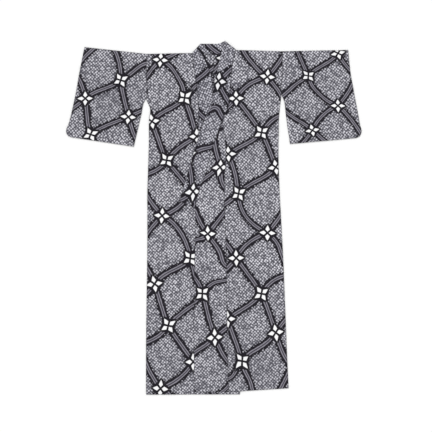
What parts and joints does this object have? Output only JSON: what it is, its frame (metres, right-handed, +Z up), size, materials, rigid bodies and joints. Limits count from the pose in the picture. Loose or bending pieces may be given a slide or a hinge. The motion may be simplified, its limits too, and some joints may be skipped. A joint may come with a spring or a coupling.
{
  "type": "kimono",
  "caption": "Woman's unlined cotton kimono laid flat, left front over right, with wide sleeves, overlap panels and a folded collar band.",
  "frame": {"origin": "centre of the garment's outline, on the surface that it lies on", "axes": "+Y along the length towards the collar, +X towards the wearer's left sleeve, +Z up from the surface, out of the front"},
  "size_m": [1.342, 1.608, 0.0072],
  "materials": {
    "printed_cotton": "matt woven cotton with a dark blue and white resist-dyed pattern",
    "collar_cotton": "the same cotton, folded double"
  },
  "bodies": {
    "root": {"body_right": "printed_cotton", "body_left": "printed_cotton", "okumi_right": "printed_cotton", "okumi_left": "printed_cotton", "sleeve_right": "printed_cotton", "sleeve_left": "printed_cotton", "collar": "collar_cotton"}
  },
  "joints": []
}
